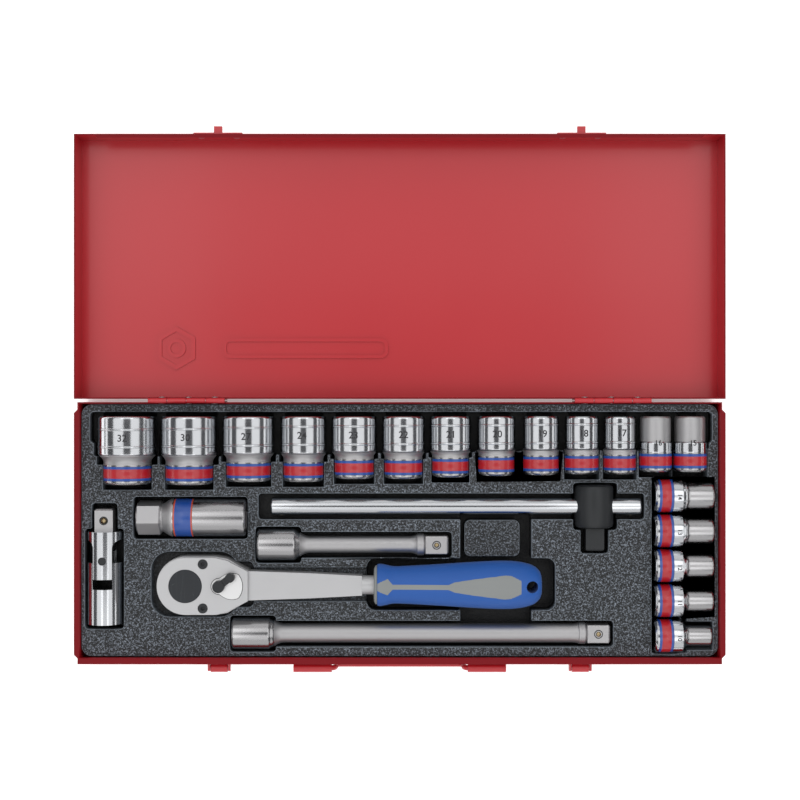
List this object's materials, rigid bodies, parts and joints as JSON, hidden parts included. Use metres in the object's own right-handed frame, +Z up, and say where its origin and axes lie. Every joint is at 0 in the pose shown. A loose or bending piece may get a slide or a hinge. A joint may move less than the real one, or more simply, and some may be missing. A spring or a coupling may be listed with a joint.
{
  "type": "socket wrench set in case",
  "caption": "Red sheet-steel case, lid swung open flat, with a black moulded insert holding sockets, ratchet, extensions, universal joint and sliding T-bar.",
  "frame": {"origin": "centre of the underside of the case's base", "axes": "+X along the case, +Y towards the hinge, +Z up"},
  "size_m": [0.44, 0.3709, 0.0438],
  "materials": {
    "red_enamel": "gloss enamel",
    "zinc": "zinc plated",
    "insert_plastic": "grained black",
    "chrome": "polished",
    "satin_chrome": "satin chrome",
    "black_steel": "black oxide",
    "ball_steel": "polished",
    "rubber": "matt",
    "grip_grey": "soft touch",
    "grip_blue": "soft touch"
  },
  "bodies": {
    "case": {"base_shell": "red_enamel", "hinge_leaves_base": "red_enamel", "hinge_pins": "zinc", "latch_plates": "red_enamel", "latch_pins": "zinc", "handle_brackets": "red_enamel", "rivets_base": "red_enamel", "insert_tray": "insert_plastic"},
    "lid": {"lid_shell": "red_enamel", "hinge_leaves_lid": "red_enamel", "rivets_lid": "red_enamel", "lid_catches": "red_enamel"},
    "latch_left": {"latch_lever_left": "red_enamel"},
    "latch_right": {"latch_lever_right": "red_enamel"},
    "handle": {"handle_bail": "red_enamel"},
    "socket_32": {"socket_32": "chrome"},
    "socket_30": {"socket_30": "chrome"},
    "socket_27": {"socket_27": "chrome"},
    "socket_24": {"socket_24": "chrome"},
    "socket_23": {"socket_23": "chrome"},
    "socket_22": {"socket_22": "chrome"},
    "socket_21": {"socket_21": "chrome"},
    "socket_20": {"socket_20": "chrome"},
    "socket_19": {"socket_19": "chrome"},
    "socket_18": {"socket_18": "chrome"},
    "socket_17": {"socket_17": "chrome"},
    "socket_16": {"socket_16": "chrome"},
    "socket_15": {"socket_15": "chrome"},
    "socket_14": {"socket_14": "chrome"},
    "socket_13": {"socket_13": "chrome"},
    "socket_12": {"socket_12": "chrome"},
    "socket_11": {"socket_11": "chrome"},
    "socket_10": {"socket_10": "chrome"},
    "spark_plug": {"spark_plug_socket": "satin_chrome", "spark_plug_insert": "rubber"},
    "joint_drive": {"joint_drive_yoke": "chrome"},
    "joint_centre": {"joint_block": "black_steel", "joint_pins": "black_steel"},
    "joint_socket": {"joint_socket_yoke": "chrome"},
    "joint_ball": {"joint_ball": "ball_steel"},
    "short_extension": {"short_extension": "satin_chrome"},
    "short_ball": {"short_extension_ball": "ball_steel"},
    "long_extension": {"long_extension": "satin_chrome"},
    "long_ball": {"long_extension_ball": "ball_steel"},
    "t_head": {"t_head": "black_steel"},
    "t_rod": {"t_bar_rod": "chrome"},
    "t_head_ball": {"t_head_ball": "ball_steel"},
    "t_ball_left": {"t_bar_ball_left": "ball_steel"},
    "t_ball_right": {"t_bar_ball_right": "ball_steel"},
    "ratchet": {"ratchet_body": "satin_chrome", "ratchet_cover": "satin_chrome", "ratchet_screws": "black_steel", "grip_core": "grip_grey", "grip_overmould": "grip_blue"},
    "lever": {"ratchet_lever": "black_steel"},
    "pawl": {"ratchet_pawl": "black_steel"},
    "drive": {"ratchet_anvil": "black_steel"},
    "drive_ball": {"ratchet_ball": "ball_steel"}
  },
  "joints": [
    {"name": "lid_hinge", "type": "hinge", "parent": "case", "child": "lid", "pos_m": [0, 0.0896, 0.0302], "axis": [-1, 0, 0], "range_deg": [-180, 0]},
    {"name": "latch_left_swing", "type": "hinge", "parent": "case", "child": "latch_left", "pos_m": [-0.123, -0.0926, 0.02], "axis": [1, 0, 0], "range_deg": [-180, 0]},
    {"name": "latch_right_swing", "type": "hinge", "parent": "case", "child": "latch_right", "pos_m": [0.123, -0.0926, 0.02], "axis": [1, 0, 0], "range_deg": [-180, 0]},
    {"name": "handle_swing", "type": "hinge", "parent": "case", "child": "handle", "pos_m": [0, -0.0926, 0.021], "axis": [-1, 0, 0], "range_deg": [0, 100]},
    {"name": "socket_32_lift", "type": "slide", "parent": "case", "child": "socket_32", "axis": [0, 0, 1], "range_m": [0, 0.045]},
    {"name": "socket_30_lift", "type": "slide", "parent": "case", "child": "socket_30", "axis": [0, 0, 1], "range_m": [0, 0.045]},
    {"name": "socket_27_lift", "type": "slide", "parent": "case", "child": "socket_27", "axis": [0, 0, 1], "range_m": [0, 0.045]},
    {"name": "socket_24_lift", "type": "slide", "parent": "case", "child": "socket_24", "axis": [0, 0, 1], "range_m": [0, 0.045]},
    {"name": "socket_23_lift", "type": "slide", "parent": "case", "child": "socket_23", "axis": [0, 0, 1], "range_m": [0, 0.045]},
    {"name": "socket_22_lift", "type": "slide", "parent": "case", "child": "socket_22", "axis": [0, 0, 1], "range_m": [0, 0.045]},
    {"name": "socket_21_lift", "type": "slide", "parent": "case", "child": "socket_21", "axis": [0, 0, 1], "range_m": [0, 0.045]},
    {"name": "socket_20_lift", "type": "slide", "parent": "case", "child": "socket_20", "axis": [0, 0, 1], "range_m": [0, 0.045]},
    {"name": "socket_19_lift", "type": "slide", "parent": "case", "child": "socket_19", "axis": [0, 0, 1], "range_m": [0, 0.045]},
    {"name": "socket_18_lift", "type": "slide", "parent": "case", "child": "socket_18", "axis": [0, 0, 1], "range_m": [0, 0.045]},
    {"name": "socket_17_lift", "type": "slide", "parent": "case", "child": "socket_17", "axis": [0, 0, 1], "range_m": [0, 0.045]},
    {"name": "socket_16_lift", "type": "slide", "parent": "case", "child": "socket_16", "axis": [0, 0, 1], "range_m": [0, 0.045]},
    {"name": "socket_15_lift", "type": "slide", "parent": "case", "child": "socket_15", "axis": [0, 0, 1], "range_m": [0, 0.045]},
    {"name": "socket_14_lift", "type": "slide", "parent": "case", "child": "socket_14", "axis": [0, 0, 1], "range_m": [0, 0.035]},
    {"name": "socket_13_lift", "type": "slide", "parent": "case", "child": "socket_13", "axis": [0, 0, 1], "range_m": [0, 0.035]},
    {"name": "socket_12_lift", "type": "slide", "parent": "case", "child": "socket_12", "axis": [0, 0, 1], "range_m": [0, 0.035]},
    {"name": "socket_11_lift", "type": "slide", "parent": "case", "child": "socket_11", "axis": [0, 0, 1], "range_m": [0, 0.035]},
    {"name": "socket_10_lift", "type": "slide", "parent": "case", "child": "socket_10", "axis": [0, 0, 1], "range_m": [0, 0.035]},
    {"name": "spark_plug_lift", "type": "slide", "parent": "case", "child": "spark_plug", "axis": [0, 0, 1], "range_m": [0, 0.035]},
    {"name": "joint_drive_lift", "type": "slide", "parent": "case", "child": "joint_drive", "axis": [0, 0, 1], "range_m": [0, 0.035]},
    {"name": "joint_sideways", "type": "hinge", "parent": "joint_drive", "child": "joint_centre", "pos_m": [-0.2005, -0.0188, 0.021], "axis": [0, 0, 1], "range_deg": [-1.2, 1.2]},
    {"name": "joint_upwards", "type": "hinge", "parent": "joint_centre", "child": "joint_socket", "pos_m": [-0.2005, -0.0266, 0.021], "axis": [-1, 0, 0], "range_deg": [0, 30]},
    {"name": "joint_ball_press", "type": "slide", "parent": "joint_drive", "child": "joint_ball", "axis": [0, 0, -1], "range_m": [0, 0.0009], "stiffness_N_per_m": 400},
    {"name": "short_extension_lift", "type": "slide", "parent": "case", "child": "short_extension", "axis": [0, 0, 1], "range_m": [0, 0.035]},
    {"name": "short_ball_press", "type": "slide", "parent": "short_extension", "child": "short_ball", "axis": [0, 0, -1], "range_m": [0, 0.0009], "stiffness_N_per_m": 400},
    {"name": "long_extension_lift", "type": "slide", "parent": "case", "child": "long_extension", "axis": [0, 0, 1], "range_m": [0, 0.035]},
    {"name": "long_ball_press", "type": "slide", "parent": "long_extension", "child": "long_ball", "axis": [0, 0, -1], "range_m": [0, 0.0009], "stiffness_N_per_m": 400},
    {"name": "t_head_lift", "type": "slide", "parent": "case", "child": "t_head", "axis": [0, 0, 1], "range_m": [0, 0.04]},
    {"name": "t_rod_slide", "type": "slide", "parent": "t_head", "child": "t_rod", "axis": [1, 0, 0], "range_m": [-0.0075, 0.0015]},
    {"name": "t_head_ball_press", "type": "slide", "parent": "t_head", "child": "t_head_ball", "axis": [0, 0, 1], "range_m": [0, 0.0009], "stiffness_N_per_m": 400},
    {"name": "t_ball_left_press", "type": "slide", "parent": "t_rod", "child": "t_ball_left", "axis": [0, 1, 0], "range_m": [0, 0.0009], "stiffness_N_per_m": 400},
    {"name": "t_ball_right_press", "type": "slide", "parent": "t_rod", "child": "t_ball_right", "axis": [0, 1, 0], "range_m": [0, 0.0009], "stiffness_N_per_m": 400},
    {"name": "ratchet_lift", "type": "slide", "parent": "case", "child": "ratchet", "axis": [0, 0, 1], "range_m": [0, 0.045]},
    {"name": "lever_swing", "type": "hinge", "parent": "ratchet", "child": "lever", "pos_m": [-0.1214, -0.0351, 0.04], "axis": [0, 0, 1], "range_deg": [-76, 0]},
    {"name": "pawl_rock", "type": "hinge", "parent": "ratchet", "child": "pawl", "pos_m": [-0.1214, -0.0351, 0.027], "axis": [0, 0, 1], "range_deg": [-9, 0]},
    {"name": "drive_spin", "type": "hinge", "parent": "ratchet", "child": "drive", "pos_m": [-0.144, -0.0351, 0.027], "axis": [0, 0, 1], "continuous": true},
    {"name": "drive_ball_press", "type": "slide", "parent": "drive", "child": "drive_ball", "axis": [0, -1, 0], "range_m": [0, 0.0009], "stiffness_N_per_m": 400}
  ],
  "couplings": [
    {"joint": "pawl_rock", "follows": "lever_swing", "ratio": 0.11842}
  ]
}
